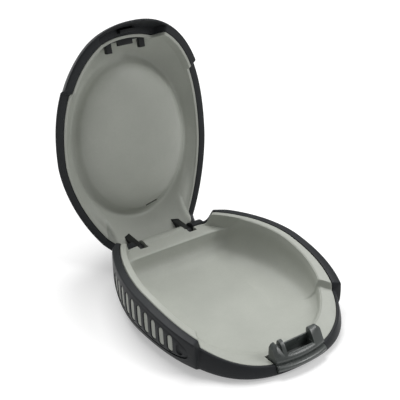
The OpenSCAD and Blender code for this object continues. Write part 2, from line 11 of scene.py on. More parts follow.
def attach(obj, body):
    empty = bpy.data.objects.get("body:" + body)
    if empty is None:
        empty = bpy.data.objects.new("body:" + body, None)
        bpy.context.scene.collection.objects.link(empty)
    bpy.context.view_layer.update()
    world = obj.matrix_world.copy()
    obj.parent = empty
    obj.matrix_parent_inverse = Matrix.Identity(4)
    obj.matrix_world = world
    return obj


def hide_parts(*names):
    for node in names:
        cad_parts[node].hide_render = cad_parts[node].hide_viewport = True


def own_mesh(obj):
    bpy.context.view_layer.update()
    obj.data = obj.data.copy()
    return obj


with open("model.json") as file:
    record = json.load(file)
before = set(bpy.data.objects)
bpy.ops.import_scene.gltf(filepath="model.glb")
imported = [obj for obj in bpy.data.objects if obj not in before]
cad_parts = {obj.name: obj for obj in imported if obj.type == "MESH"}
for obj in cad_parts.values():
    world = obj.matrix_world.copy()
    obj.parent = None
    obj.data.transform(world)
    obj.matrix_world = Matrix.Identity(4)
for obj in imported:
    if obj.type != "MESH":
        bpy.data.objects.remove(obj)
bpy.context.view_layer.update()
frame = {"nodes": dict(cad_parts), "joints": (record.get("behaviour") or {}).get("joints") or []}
MM = 0.001
SIDES = (-1, 1)

# Camera: the photograph's viewing angle, with the framing it was cropped to
AIM = Vector((0.0, 0.0, 17.4)) * MM
AZIMUTH, ELEVATION = math.radians(-36.3), math.radians(31.3)
DISTANCE = 293.4 * MM
SENSOR = 36.0
FOCAL_SHARE = 2.2
SHIFT = (-0.0515, 0.153)
CLIP = (0.01, 20.0)


def add_camera():
    back = Vector((math.sin(AZIMUTH) * math.cos(ELEVATION),
                   -math.cos(AZIMUTH) * math.cos(ELEVATION),
                   math.sin(ELEVATION)))
    right = Vector((math.cos(AZIMUTH), math.sin(AZIMUTH), 0.0))
    up = back.cross(right)
    data = bpy.data.cameras.new("camera")
    data.sensor_width = SENSOR
    data.lens = SENSOR * FOCAL_SHARE
    data.shift_x, data.shift_y = SHIFT
    data.clip_start, data.clip_end = CLIP
    turned = Matrix((right, up, back)).transposed().to_4x4()
    camera = bpy.data.objects.new("camera", data)
    camera.matrix_world = Matrix.Translation(AIM + back * DISTANCE) @ turned
    bpy.context.scene.collection.objects.link(camera)
    bpy.context.scene.camera = camera


add_camera()

# Sizes of the base, in millimetres like all lengths of the case
RIM_HALF_W, RIM_FRONT, RIM_REAR, REAR_CUT = 31.0, 41.6, 46.9, 34.2
RIM_PEAK, RIM_PEAK_Y, RIM_FRONT_H, FRONT_STEP = 17.4, 13.6, 6.1, 2.1
LEDGE_H, RAIL_W, RAIL_REAR = 11.6, 2.4, 1.0
HOLLOW_FRONT, HOLLOW_REAR, HOLLOW_SET = 34.5, 27.2, 0.4
TRAY_FLOOR, FLOOR_IN, FLOOR_DISH = 3.4, 18.0, 0.15
COVER_WALL, HINGE_WALL, FRONT_WALL, FRONT_BELLY, COVER_FLOOR = 2.8, 1.6, 0.6, 1.7, 1.8

# Sizes of the grips and their slots
GRIP_REAR, GRIP_FRONT, GRIP_PROUD, GRIP_SHY = 20.5, 25.0, 0.35, 0.1
GRIP_DROP, GRIP_LOW_SHARE, GRIP_LOW_RISE = 1.1, 0.3, 0.4
GRIP_LEAN, GRIP_BACK, COMB_PLATE = 0.14, 0.5, 0.35
GRIP_BLUNT, END_POWER, END_ROOT = 0.08, 5, 0.4
SLOT_COUNT, BLIND_COUNT, SLOT_PITCH, SLOT_W, SLOT_H = 10, 1, 3.9, 2.3, 8.2
SLOT_START, SLOT_MARGIN, SLOT_SHORT, SLOT_DEEP, RIB_SET = 3.4, 2.0, 1.6, 4.5, 0.2

# Sizes of the hinge
BARREL_R, KNUCKLE_HALF, PIN_R = 3.6, 8.6, 1.0
ARM_T, ARM_GAP, EYE_R = 2.6, 0.6, 2.7
ARM_TIP, ARM_HEEL = np.array([-5.6, 11.0]), np.array([-0.8, 4.7])
BAR_LEN, BAR_GAP, BAR_PROUD, HINGE_ROOM = 4.9, 0.15, 0.3, 3.0
SLIT_GAP, SLIT_FRONT, SLIT_DEEP = 0.25, 4.2, 0.5

# Sizes of the lid, its liner and the swell
LID_SET, LID_OVERHANG, LID_REAR_REACH, CASE_H = 0.2, 2.9, 6.0, 31.6
LID_EDGE, LINER_EDGE, LID_WALL, FLANGE_T = 2.8, 1.0, 1.3, 1.0
SKIRT, SKIRT_LAND = 0.7, 0.3
BAY_GAP, BAY_IN, BAY_WALL, BAY_LAND = 1.0, 2.2, 0.8, 0.55
SWELL_SIDE, SWELL_FORE, SWELL_AFT, SWELL_H, SWELL_LEAN = 8.8, 13.9, 15.2, 6.8, 0.06
VALLEY_DEEP, VALLEY_U = 10.3, 1.06
NOTCH_HALF, NOTCH_X, NOTCH_ALONG, NOTCH_UP, NOTCH_TURN = (2.6, 0.4, 3.0), 3.8, 0.92, 0.6, -10

# Sizes of the latch: the button and its recess, the leaf behind it, and the catch in the lid
BUTTON_HALF_W, BUTTON_H, LIP_REACH, BUTTON_TRAVEL = 9.6, 10.4, 0.9, 1.2
BUTTON_LIFT, BUTTON_BOW, BOW_RUN = 0.3, 33.0, 3.0
BRIDGE_DROP, BAND_H, OVERHANG_H, END_SET = 2.0, 6.6, 3.8, 0.2
WELL_HALF, WELL_REAR, WALL_REAR, WELL_FRONT, WELL_FLOOR = 5.1, 38.5, 37.7, 41.5, 4.4
GROOVE_OUT, GROOVE_IN, GROOVE_BEND, GROOVE_FRONT = 1.4, 3.0, 39.2, 42.4
GROOVE_DEEP, GROOVE_END = 1.7, 0.4
BLOCK_WALL, RECESS_SIDE, RECESS_BACK = 0.9, 0.3, 0.4
POST_W, POST_H, POST_BACK, POST_SET = 1.2, 3.0, 0.6, 1.8
LEAF_HALF, LEAF_T, LEAF_SLACK, LEAF_END = 7.0, 0.25, 0.3, 0.1
HOOK_FORE, HOOK_AFT, HOOK_HALF, HOOK_LOW, HOOK_ARM = 0.7, 1.9, 3.0, 8.75, 0.9
CATCH_SET, CATCH_T, CATCH_HALF, CATCH_LEG = 2.7, 1.8, 7.6, 2.2
CATCH_BAR, CATCH_REACH, TONGUE_ROOT = 2.1, 5.4, 1.4

# Clearances
SEAT_GAP, WALL_GAP, SHELL_GAP, MOVE_GAP = 0.1, 0.2, 0.15, 0.35
PIN_FIT, RUN_FIT, LID_GAP, HINGE_GAP = 0.02, 0.05, 0.35, 0.6

# Rounded edges of the plainly built pieces
KNUCKLE_ROUND, BUTTON_ROUND, ARM_ROUND, CATCH_ROUND = 0.25, 0.25, 0.12, 0.15

# How far a cutter runs past its piece, and how deep a joined part is rooted
BEYOND, OVER, ROOT = 9.0, 1.0, 0.5

# Powers and knees of the egg curve, the form of the dome, and the angles of the front steps in degrees
FRONT_POWER, LID_POWER, REAR_POWER, BASE_KNEE, LID_KNEE = 2.6, 2.25, 1.685, 3.4, 7.0
DOME_POWER, ROOF_SHARE, CROWN_POWER = 1.55, 0.844, 4
STEP_T, STEP_E = 57.3, 0.9

# Where one form runs over into the next: along Y, round the egg in degrees, and up the lid as shares
NOSE_BACK, NOSE_RUN, NOSE_FADE = 2.4, 1.7, 16
LEDGE_BACK, LEDGE_RUN = 6.8, 7
THIN_Y, THIN_RUN = 27, 6
SHARP_REAR_Y, SHARP_FRONT_Y, SHARP_RUN = 18, 24, 14
BAY_RAMP, BAY_FADE = 7.0, 32
RIM_RISE, NOSE_RISE, FULL_FROM, FULL_RUN = 0.35, 0.4, 0.15, 0.45
EASE_FROM, EASE_RUN = 0.2, 0.58

# Numbers of points on the curves, and the least gap between two rings of a smooth run
BAY_POINTS, RAMP_POINTS, FRONT_POINTS, STEP_POINTS, REAR_POINTS = 17, 11, 33, 8, 243
GRIP_POINTS, BAND_POINTS, SLOT_POINTS, LEAF_POINTS, ROD_POINTS = 91, 25, 40, 41, 72
SECTIONS_PER_MM, LEAST_GAP = 2, 1e-4

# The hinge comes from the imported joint, and the places of the small parts follow from the sizes above
hinge = next(j for j in frame["joints"] if j["name"] == "lid_hinge")
HINGE_Y, HINGE_Z = hinge["pos_m"][1] / MM, hinge["pos_m"][2] / MM
OPEN_ANGLE = math.radians(max(hinge["range_deg"]))
ARM_X = KNUCKLE_HALF + ARM_GAP + ARM_T / 2
SLIT_IN, SLIT_OUT = KNUCKLE_HALF + SLIT_GAP, ARM_X + ARM_T / 2 + MOVE_GAP
BAR_IN, BAR_R = SLIT_OUT + BAR_GAP, BARREL_R + BAR_PROUD
LID_HALF_W, LID_FRONT, LID_CUT = RIM_HALF_W - LID_SET, RIM_FRONT + LID_OVERHANG, REAR_CUT + LID_REAR_REACH
BAY_H, BAY_EDGE = BUTTON_H + MOVE_GAP + SEAT_GAP, LID_FRONT - BAY_IN
HOOK_FRONT, HOOK_REAR = BAY_EDGE - HOOK_FORE, BAY_EDGE - HOOK_AFT
LIP_FRONT, BLOCK_REAR = LID_FRONT + LIP_REACH, HOOK_REAR - MOVE_GAP - BLOCK_WALL
RECESS_HALF, RECESS_REAR = BUTTON_HALF_W + RECESS_SIDE, BLOCK_REAR - BUTTON_TRAVEL - RECESS_BACK
POST_REAR = RECESS_REAR - POST_BACK
POST_FRONT = LID_FRONT - LID_EDGE - LINER_EDGE - SHELL_GAP - MOVE_GAP - POST_SET
BUTTON_LOW, BRIDGE_H = COVER_FLOOR + BUTTON_LIFT, BUTTON_H - BRIDGE_DROP
LEAF_LOW, LEAF_HIGH, LEAF_CROWN = COVER_FLOOR + SEAT_GAP, TRAY_FLOOR - SEAT_GAP, -RECESS_REAR - SHELL_GAP
CATCH_LOW = BAY_H + FLANGE_T + SHELL_GAP
CATCH_HIGH, CATCH_FRONT = CATCH_LOW + CATCH_T, BAY_EDGE - CATCH_SET
VALLEY_Z = CASE_H - LID_WALL - VALLEY_DEEP
SWELL_HALF_W = LID_HALF_W - SWELL_SIDE
SWELL_HALF_L = (LID_FRONT - SWELL_FORE + LID_CUT - SWELL_AFT) / 2
SWELL_Y = (LID_CUT - SWELL_AFT - LID_FRONT + SWELL_FORE) / 2


def mix(a, b, u):
    return a + (b - a) * u


def smooth(u):
    u = np.clip(u, 0.0, 1.0)
    return u * u * (3.0 - 2.0 * u)


def signed_pow(v, e):
    return np.sign(v) * np.abs(v) ** e


# Angles round the egg: 0 is the latch, and the bay over it and each front step get points of their own
front_edge, rear_edge = STEP_T - STEP_E, STEP_T + STEP_E
bay_edge_t = math.degrees(math.asin(((BUTTON_HALF_W + BAY_GAP) / LID_HALF_W) ** (LID_POWER / 2)))
bay_end = bay_edge_t + BAY_RAMP
half_front = np.concatenate([
    np.linspace(0, bay_edge_t, BAY_POINTS),
    np.linspace(bay_edge_t, bay_end, RAMP_POINTS)[1:],
    np.linspace(bay_end, front_edge, FRONT_POINTS)[1:]])
ANGLES = np.concatenate([
    -half_front[:0:-1],
    half_front,
    np.linspace(front_edge, rear_edge, STEP_POINTS)[1:-1],
    np.linspace(rear_edge, 360 - rear_edge, REAR_POINTS),
    np.linspace(360 - rear_edge, 360 - front_edge, STEP_POINTS)[1:-1]])
TURN = np.radians(ANGLES)
FROM_FRONT = np.abs((ANGLES + 180) % 360 - 180)
IN_FRONT = smooth((rear_edge - FROM_FRONT) / (rear_edge - front_edge))
BAY = smooth((bay_end - FROM_FRONT) / BAY_RAMP)


def soft_cut(y, cut, knee):
    eased = cut - knee + knee * (1 - np.exp(-np.maximum(y - cut + knee, 0) / knee))
    return np.where(y < cut - knee, y, eased)


def egg(a, f, r, cut, knee, power=FRONT_POWER):
    """Points round an egg curve of half width a, front length f and rear length r, cut flat at the rear."""
    s, c = np.sin(TURN), np.cos(TURN)
    e = np.where(c >= 0, 2 / power, 2 / REAR_POWER)
    y = -np.where(c >= 0, f, r) * signed_pow(c, e)
    return np.stack([a * signed_pow(s, e), soft_cut(y, cut, knee)], 1)


def base_pt(d):
    """Points d outside the base's rim line; d may vary round the egg."""
    return egg(RIM_HALF_W + d, RIM_FRONT + d, RIM_REAR + d, REAR_CUT + d, BASE_KNEE)


def rail_edge(inside):
    """Points inside the rail's inner edge."""
    return egg(RIM_HALF_W - RAIL_W - inside, HOLLOW_FRONT + HOLLOW_SET - inside, RIM_REAR - RAIL_W - inside,
               REAR_CUT - RAIL_REAR - inside, BASE_KNEE)


def hollow_pt(d):
    """Points d outside the edge of the tray's hollow."""
    return egg(RIM_HALF_W - RAIL_W - HOLLOW_SET + d, HOLLOW_FRONT + d, RIM_REAR - RAIL_W + d,
               HOLLOW_REAR + d, BASE_KNEE)


def lid_pt(d):
    """Points d outside the lid's edge, which is drawn in at the bay."""
    return egg(LID_HALF_W + d, LID_FRONT + d - BAY_IN * BAY, RIM_REAR + d, LID_CUT + d, LID_KNEE, LID_POWER)


def skirt_pt(d):
    """Points d outside the lid's outer edge, which runs on in front of the bay."""
    return egg(LID_HALF_W + d, LID_FRONT + d, RIM_REAR + d, LID_CUT + d, LID_KNEE, LID_POWER)


# The rim is an arch along Y, lower in the front zone and at the hinge
RIM_Y = base_pt(0.0)[:, 1]
ARCH = (RIM_PEAK - RIM_FRONT_H) / (RIM_FRONT + RIM_PEAK_Y) ** 2


def arch_z(y):
    return RIM_PEAK - ARCH * (y - RIM_PEAK_Y) ** 2


HINGE_SHARE = smooth((RIM_Y - REAR_CUT + NOSE_BACK) / NOSE_RUN)
PLAIN_RIM = mix(arch_z(RIM_Y), LEDGE_H, HINGE_SHARE)
RIM_Z = PLAIN_RIM - FRONT_STEP * IN_FRONT
LID_RISE = mix(LID_GAP, HINGE_GAP, HINGE_SHARE)
SKIRT_RIM, SKIRT_PLAIN = RIM_Z + LID_RISE, PLAIN_RIM + LID_RISE
LID_RIM, LID_PLAIN = mix(SKIRT_RIM, BAY_H, BAY), mix(SKIRT_PLAIN, BAY_H, BAY)
NOSE_EASE = smooth((RIM_Y - REAR_CUT + NOSE_FADE) / NOSE_FADE)
EASED_PLAIN = mix(LID_PLAIN, LEDGE_H + HINGE_GAP, NOSE_EASE)
BAY_SWELL = smooth((bay_edge_t + BAY_FADE - FROM_FRONT) / BAY_FADE)


def ring(places, heights):
    return np.column_stack([places, np.broadcast_to(heights, len(places))])


def eased_run(rings, steps):
    """A smooth run through rings: each gap gets steps parts on a curve through its neighbours."""
    pts = [2 * rings[0] - rings[1], *rings, 2 * rings[-1] - rings[-2]]
    lengths = [float(np.mean(np.linalg.norm(b - a, axis=1))) for a, b in zip(pts, pts[1:])]
    gaps = [max(length, LEAST_GAP) ** 0.5 for length in lengths]
    out = [rings[0]]
    for k in range(1, len(pts) - 2):
        p0, p1, p2, p3 = pts[k - 1:k + 3]
        t1 = gaps[k - 1]
        t2 = t1 + gaps[k]
        t3 = t2 + gaps[k + 1]
        for t in np.linspace(t1, t2, steps + 1)[1:]:
            a1 = mix(p0, p1, t / t1)
            a2 = mix(p1, p2, (t - t1) / (t2 - t1))
            a3 = mix(p2, p3, (t - t2) / (t3 - t2))
            b1, b2 = mix(a1, a2, t / t2), mix(a2, a3, (t - t1) / (t3 - t1))
            out.append(mix(b1, b2, (t - t1) / (t2 - t1)))
    return out


def closing(edge, parts):
    """Rings that close an end ring towards its middle, where a small face is left."""
    middle = edge.mean(axis=0)
    return [mix(edge, middle, k / (parts + 0.5)) for k in range(1, parts + 1)]


def mesh_object(name, verts, faces):
    mesh = bpy.data.meshes.new(name)
    mesh.from_pydata([tuple(v) for v in np.asarray(verts) * MM], [], faces)
    mesh.update()
    obj = bpy.data.objects.new(name, mesh)
    bpy.context.scene.collection.objects.link(obj)
    return obj


def face_outwards(obj):
    bm = bmesh.new()
    bm.from_mesh(obj.data)
    bmesh.ops.recalc_face_normals(bm, faces=bm.faces)
    bm.to_mesh(obj.data)
    bm.free()


def loft(name, rings, closed_ends=(4, 4)):
    """A closed skin through rings, its two ends drawn in towards the middle."""
    rings = [*reversed(closing(rings[0], closed_ends[0])), *rings, *closing(rings[-1], closed_ends[1])]
    n = len(rings[0])
    verts = np.concatenate(rings)
    faces = []
    for k in range(len(rings) - 1):
        for i in range(n):
            j = (i + 1) % n
            faces.append((k * n + i, k * n + j, (k + 1) * n + j, (k + 1) * n + i))
    end = (len(rings) - 1) * n
    faces += [tuple(range(n - 1, -1, -1)), tuple(range(end, end + n))]
    obj = mesh_object(name, verts, faces)
    face_outwards(obj)
    return obj


def prism(name, outline, x0, x1):
    """An outline in Y and Z, drawn along X."""
    n = len(outline)
    verts = [(x, y, z) for x in (x0, x1) for y, z in outline]
    faces = [tuple(range(n)), tuple(range(2 * n - 1, n - 1, -1))]
    faces += [(i, n + i, n + (i + 1) % n, (i + 1) % n) for i in range(n)]
    obj = mesh_object(name, verts, faces)
    face_outwards(obj)
    return obj


def box(name, low, high):
    outline = [(low[1], low[2]), (high[1], low[2]), (high[1], high[2]), (low[1], high[2])]
    return prism(name, outline, low[0], high[0])


def hinge_rod(name, r, x0, x1):
    turns = np.linspace(0, 2 * math.pi, ROD_POINTS, endpoint=False)
    return prism(name, [(HINGE_Y + r * math.cos(a), HINGE_Z + r * math.sin(a)) for a in turns], x0, x1)


def apply_modifiers(obj):
    result = bpy.data.meshes.new_from_object(obj.evaluated_get(bpy.context.evaluated_depsgraph_get()))
    obj.modifiers.clear()
    obj.data = result


def combine(obj, other, operation):
    """Joins, cuts or keeps the common part of two solids, and uses up the second."""
    modifier = obj.modifiers.new("combine", "BOOLEAN")
    modifier.operation = operation
    modifier.solver = "EXACT"
    modifier.object = other
    apply_modifiers(obj)
    bpy.data.objects.remove(other)


def cut(obj, *others):
    for other in others:
        combine(obj, other, "DIFFERENCE")


def unite(obj, *others):
    for other in others:
        combine(obj, other, "UNION")


def joined(pieces):
    """Puts the meshes of some pieces into the first of them."""
    bm = bmesh.new()
    for piece in pieces:
        bm.from_mesh(piece.data)
    bm.to_mesh(pieces[0].data)
    bm.free()
    for piece in pieces[1:]:
        bpy.data.objects.remove(piece)
    return pieces[0]


def soften(obj, width, segments=3, angle=28):
    """Rounds the edges of a plainly built piece."""
    bevel = obj.modifiers.new("soften", "BEVEL")
    bevel.width = width * MM
    bevel.segments = segments
    bevel.limit_method = "ANGLE"
    bevel.angle_limit = math.radians(angle)
    bevel.harden_normals = False
    apply_modifiers(obj)


def shade(obj, angle=32):
    obj.data.shade_smooth()
    obj.data.set_sharp_from_angle(angle=math.radians(angle))


def opened(obj):
    """Turns a piece of the closed lid back about the hinge."""
    axis = Vector((0, HINGE_Y, HINGE_Z)) * MM
    turn = Matrix.Rotation(-OPEN_ANGLE, 4, "X")
    obj.data.transform(Matrix.Translation(axis) @ turn @ Matrix.Translation(-axis))


def mirrored(obj, name):
    copy = bpy.data.objects.new(name, obj.data.copy())
    copy.data.transform(Matrix.Scale(-1, 4, (1, 0, 0)))
    copy.data.flip_normals()
    bpy.context.scene.collection.objects.link(copy)
    return copy


def both_sides(s, inner, outer):
    """A stretch along X on the right side, or its mirror image on the left."""
    return (inner, outer) if s > 0 else (-outer, -inner)


# The tray
TRAY_BOTTOM = COVER_FLOOR + WALL_GAP
SIDE_DROP, FRONT_DROP, LEDGE_DROP = 0.6, 0.3, 0.35
LEDGE_SHARE = smooth((RIM_Y - HOLLOW_REAR + LEDGE_BACK) / LEDGE_RUN)
HOLLOW_EDGE = mix(RIM_Z - mix(SIDE_DROP, FRONT_DROP, IN_FRONT), LEDGE_H - LEDGE_DROP, LEDGE_SHARE)

# Rows of its skin: how far in, and how high as a share of the wall
WALL_ROWS = ((8.9, 0), (3.5, 0.1), (1.1, 0.36), (0, 0.96))
RIM_ROWS = ((0.08, 0.985), (0.3, 1))
HOLLOW_ROWS = ((0, 1), (0.4, 0.86), (1.0, 0.5), (3.2, 0.14), (8.0, 0))

# Rows of its rail: how far inside the edge, with the drop from the top or the share of the way to the foot
RAIL_ROWS = ((-0.25, 0), (-0.08, 0.03), (0.04, 0.12))
FOOT_ROWS = ((0.1, 0.5), (0.16, 0.92))
FOOT_DROP, FOOT_UNDER = 0.2, 0.05
SLOPE_IN, SLOPE_DROP, SLOPE_OUT, SLOPE_DOWN = 0.3, 0.28, 0.55, 0.35


def tray_wall(share):
    return TRAY_BOTTOM + share * (RIM_Z - TRAY_BOTTOM)


def hollow_wall(share):
    return TRAY_FLOOR + share * (HOLLOW_EDGE - TRAY_FLOOR)


def rail_foot(drop):
    return mix(RIM_Z - drop, LEDGE_H - drop / 2, LEDGE_SHARE)


def make_tray():
    top, foot = tray_wall(1), rail_foot(FOOT_DROP)
    outside = eased_run([
        ring(base_pt(-inset - WALL_GAP), tray_wall(share)) for inset, share in WALL_ROWS], steps=4)
    rim = [ring(base_pt(-WALL_GAP - inset), tray_wall(share)) for inset, share in RIM_ROWS]
    rim += [ring(rail_edge(inside), top - drop) for inside, drop in RAIL_ROWS]
    rim += [ring(rail_edge(inside), mix(top, foot, share) - FOOT_UNDER) for inside, share in FOOT_ROWS]
    slope, slope_z = rail_edge(SLOPE_IN), rail_foot(SLOPE_DROP)
    hollow = eased_run([
        ring(slope, slope_z),
        ring(mix(slope, hollow_pt(0.0), SLOPE_OUT), mix(slope_z, hollow_wall(1), SLOPE_DOWN)),
        *[ring(hollow_pt(-inset), hollow_wall(share)) for inset, share in HOLLOW_ROWS],
        ring(hollow_pt(-FLOOR_IN), TRAY_FLOOR - FLOOR_DISH)], steps=5)
    tray = loft("tray", [*outside, *rim, *hollow])
    unite(tray, hinge_rod("barrel", BARREL_R, -KNUCKLE_HALF, KNUCKLE_HALF))
    cut(tray, hinge_rod("bore", PIN_R + PIN_FIT, -KNUCKLE_HALF - OVER, KNUCKLE_HALF + OVER))
    for s in SIDES:
        x0, x1 = both_sides(s, SLIT_IN, SLIT_OUT)
        cut(tray, box("slit", (x0, HINGE_Y - SLIT_FRONT, HINGE_Z - EYE_R - SLIT_DEEP),
                      (x1, HINGE_Y + BEYOND, RIM_PEAK)))
    cut(tray, box("recess", (-RECESS_HALF, -RIM_FRONT - BEYOND, 0),
                  (RECESS_HALF, BUTTON_TRAVEL + RECESS_BACK - WALL_REAR, RIM_PEAK)))
    return tray


# The cover: thick at the sides and thin at the hinge, swelling in the front zone from a thin edge
REAR_SHARP, FRONT_SHARP = 0.6, 0.5
ROUNDING = (1 - REAR_SHARP * smooth((RIM_Y - SHARP_REAR_Y) / SHARP_RUN)
            - FRONT_SHARP * smooth((-RIM_Y - SHARP_FRONT_Y) / SHARP_RUN))

# Rows of its skin: inset, share of the way from the belly to the edge, and height as a share of the rim
SKIN_ROWS = ((8, 0, 0), (3.9, 0, 0.05), (1.1, 0, 0.18), (0.1, 0, 0.37), (-0.15, 0.35, 0.66),
             (0, 0.85, 0.95))
EDGE_ROWS = ((0.08, 0.93, 0.975), (0.2, 0.97, 0.992), (0.4, 1, 1))


def cover_d(edge):
    side = mix(COVER_WALL, HINGE_WALL, smooth((RIM_Y - THIN_Y) / THIN_RUN))
    return mix(side, mix(FRONT_BELLY, FRONT_WALL, edge), IN_FRONT)


def cover_ring(inset, edge, share):
    return ring(base_pt(cover_d(edge) - inset * ROUNDING), share * RIM_Z)


def grip_top(y):
    return arch_z(y) - GRIP_DROP


def grip_low(y):
    return GRIP_LOW_SHARE * arch_z(y) + GRIP_LOW_RISE


def grip_centre(y):
    return (grip_top(y) + grip_low(y)) / 2


def grip_span(y):
    return (grip_top(y) - grip_low(y)) / 2


GRIP_MID, GRIP_HALF = (GRIP_REAR - GRIP_FRONT) / 2, (GRIP_REAR + GRIP_FRONT) / 2
GRIP_TURNS = np.linspace(0, math.pi, GRIP_POINTS)
GRIP_END = np.maximum(1 - np.abs(np.cos(GRIP_TURNS)) ** END_POWER, 0) ** END_ROOT


def grip_outline(grow):
    y = GRIP_MID + (GRIP_HALF + grow) * np.cos(GRIP_TURNS)
    reach = (grip_span(y) + grow) * GRIP_END
    over = np.stack([y, grip_centre(y) + reach], 1)
    under = np.stack([y, grip_centre(y) - reach], 1)[-2:0:-1]
    return [tuple(p) for p in np.concatenate([over, under])]


def guide_post(s):
    """The post at one side of the button."""
    x0, x1 = both_sides(s, RECESS_HALF, RECESS_HALF + POST_W)
    return box("post", (x0, -POST_FRONT, COVER_FLOOR - ROOT), (x1, -POST_REAR, POST_H))


def make_cover():
    skin = eased_run([cover_ring(*row) for row in SKIN_ROWS], steps=5)
    edge = [cover_ring(*row) for row in EDGE_ROWS]
    inside = eased_run([
        ring(base_pt(-inset), COVER_FLOOR + share * (RIM_Z - COVER_FLOOR))
        for inset, share in reversed(WALL_ROWS)], steps=3)
    cover = loft("cover", [*skin, *edge, ring(base_pt(0.0), RIM_Z), *inside])
    for s in SIDES:
        x0, x1 = both_sides(s, RIM_HALF_W / 2, RIM_HALF_W + BEYOND)
        cut(cover, prism("window", grip_outline(SEAT_GAP), x0, x1))
    cut(cover,
        box("hinge_gap", (-SLIT_OUT - SEAT_GAP, HINGE_Y - HINGE_ROOM, HINGE_Z - BARREL_R - BAR_PROUD),
            (SLIT_OUT + SEAT_GAP, HINGE_Y + BEYOND, RIM_PEAK)),
        box("recess", (-RECESS_HALF, -RIM_FRONT - BEYOND, COVER_FLOOR),
            (RECESS_HALF, OVER - RECESS_REAR, RIM_PEAK)))
    for s in SIDES:
        knuckle = hinge_rod("knuckle", BAR_R, *both_sides(s, BAR_IN, BAR_IN + BAR_LEN))
        cut(knuckle, box("trim", (-RIM_HALF_W, HINGE_Y - BEYOND, 0),
                         (RIM_HALF_W, REAR_CUT + SEAT_GAP, RIM_PEAK)))
        soften(knuckle, KNUCKLE_ROUND)
        unite(cover, knuckle, guide_post(s))
    cut(cover, hinge_rod("bore", PIN_R + PIN_FIT, -BAR_IN - BAR_LEN - OVER, BAR_IN + BAR_LEN + OVER))
    return cover


# The grips: bands that fill the cover's windows, with round-ended slots that a comb fills from behind
def grip_x(y, d):
    b = np.where(y < 0, RIM_FRONT, RIM_REAR) + d
    p = np.where(y < 0, FRONT_POWER, REAR_POWER)
    return (RIM_HALF_W + d) * (1 - (np.abs(y) / b) ** p) ** (1 / p)


def grip_face(y, z):
    """How far out the grip's crowned face lies at places given along Y and Z."""
    v = (z - grip_centre(y)) / (grip_span(y) - SEAT_GAP)
    crown = np.maximum(1 - np.abs(v) ** CROWN_POWER, 0)
    return grip_x(y, COVER_WALL - GRIP_SHY + (GRIP_PROUD + GRIP_SHY) * crown) - (1 - v) * GRIP_LEAN


def slot_solid(index, levels):
    """A round-ended slot, or what fills one: rings at heights over the grip's face, each grown sideways."""
    y = GRIP_REAR - SLOT_START - index * SLOT_PITCH
    length = min(SLOT_H, 2 * grip_span(y) - SLOT_MARGIN)
    length -= SLOT_SHORT * (1 if index == 0 else max(0, index - SLOT_COUNT + 1))
    turns = np.linspace(0, 2 * math.pi, SLOT_POINTS, endpoint=False)
    rings = []
    for height, grow in levels:
        half = SLOT_W / 2 + grow
        py = y + half * np.cos(turns)
        pz = grip_centre(y) + half * np.sin(turns) + np.sign(np.sin(turns)) * (length - SLOT_W) / 2
        rings.append(np.stack([grip_face(py, pz) + height, py, pz], 1))
    return rings


def slot_row(count, first, levels):
    """One object with a closed shell for each of some slots."""
    return joined([loft("slot", slot_solid(first + k, levels), (2, 2)) for k in range(count)])


# Rows of a slot's wall and of a rib: height over the grip's face, and how much wider than the slot
MOUTH = [(-0.4, 0.0), (-0.2, 0.03), (-0.07, 0.1), (0.02, 0.22), (0.8, 0.9)]
THROUGH = [(-SLOT_DEEP, 0.0), *MOUTH]
BLIND = [(-0.7, -0.25), (-0.55, -0.05), *MOUTH]
RIB = [(0.15 - COVER_WALL, -SEAT_GAP), (-RIB_SET - 0.3, -SEAT_GAP), (-RIB_SET - 0.1, -SEAT_GAP - 0.06),
       (-RIB_SET, -SEAT_GAP - 0.25), (-RIB_SET, -SEAT_GAP - 0.5)]


def band(name, inner, outer, crown):
    """A band over a grip's outline, between two distances from the rim's line."""
    rows = np.linspace(-1, 1, BAND_POINTS)
    y = GRIP_MID + (GRIP_HALF - SEAT_GAP) * np.cos(GRIP_TURNS)
    end = np.maximum(GRIP_END, GRIP_BLUNT)
    lean = (1 - rows) * GRIP_LEAN
    loops = []
    for i in range(len(y)):
        along = np.full_like(rows, y[i])
        z = grip_centre(y[i]) + rows * (grip_span(y[i]) - SEAT_GAP) * end[i]
        out_x = grip_x(along, outer + crown * (1 - np.abs(rows) ** CROWN_POWER) * end[i]) - lean
        in_x = grip_x(along, np.full_like(rows, inner)) - lean
        loops.append(np.concatenate([np.stack([out_x, along, z], 1), np.stack([in_x, along, z], 1)[::-1]]))
    return loft(name, loops, (0, 0))


def make_grip():
    grip = band("grip", GRIP_BACK, COVER_WALL - GRIP_SHY, GRIP_PROUD + GRIP_SHY)
    cut(grip, slot_row(SLOT_COUNT, 0, THROUGH), slot_row(BLIND_COUNT, SLOT_COUNT, BLIND))
    return grip


def make_comb():
    comb = band("comb", GRIP_BACK - SEAT_GAP - COMB_PLATE, GRIP_BACK - SEAT_GAP, 0.0)
    unite(comb, slot_row(SLOT_COUNT, 0, RIB))
    return comb


